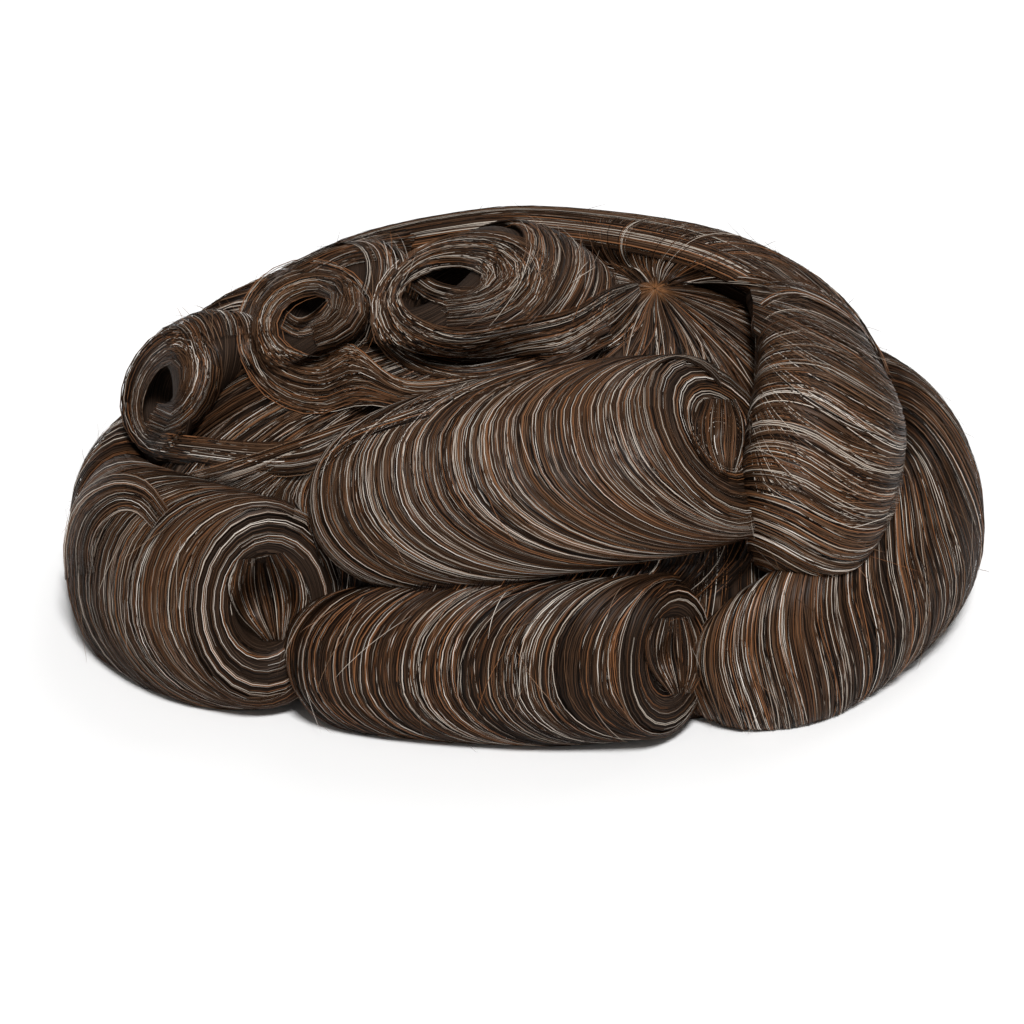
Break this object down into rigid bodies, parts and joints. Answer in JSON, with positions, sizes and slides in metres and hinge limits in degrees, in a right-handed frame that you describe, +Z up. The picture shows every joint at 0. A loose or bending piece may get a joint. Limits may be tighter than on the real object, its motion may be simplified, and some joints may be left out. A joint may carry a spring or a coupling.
{
  "type": "toupee hairpiece",
  "caption": "Domed toupee of combed hair with rolls round the rim, a long side wave, a crown roll and pin curls along the top.",
  "frame": {"origin": "middle of the bottom of the box, on the surface that the rim rests on", "axes": "+X from the front hairline towards the nape, -Y the wearer's left side, +Z up out of the crown"},
  "size_m": [0.2496, 0.2162, 0.1004],
  "materials": {
    "rolled_hair": "dark brown human hair with auburn and grey strands, satin sheen",
    "combed_hair": "dark brown combed hair with grey strands, satin sheen",
    "scalp_base": "matt tan wig base net"
  },
  "bodies": {
    "root": {"base_cap": "scalp_base", "hair_bed": "combed_hair", "crown_roll": "rolled_hair", "side_roll_near": "rolled_hair", "side_sweep_far": "rolled_hair", "curl_top": "rolled_hair", "curl_middle": "rolled_hair", "curl_front": "rolled_hair", "rim_roll_front": "rolled_hair", "rim_roll_nape": "rolled_hair", "rim_roll_side_near": "rolled_hair", "rim_roll_side_far": "rolled_hair", "rim_roll_temple_near": "rolled_hair", "rim_roll_temple_far": "rolled_hair"}
  },
  "joints": []
}
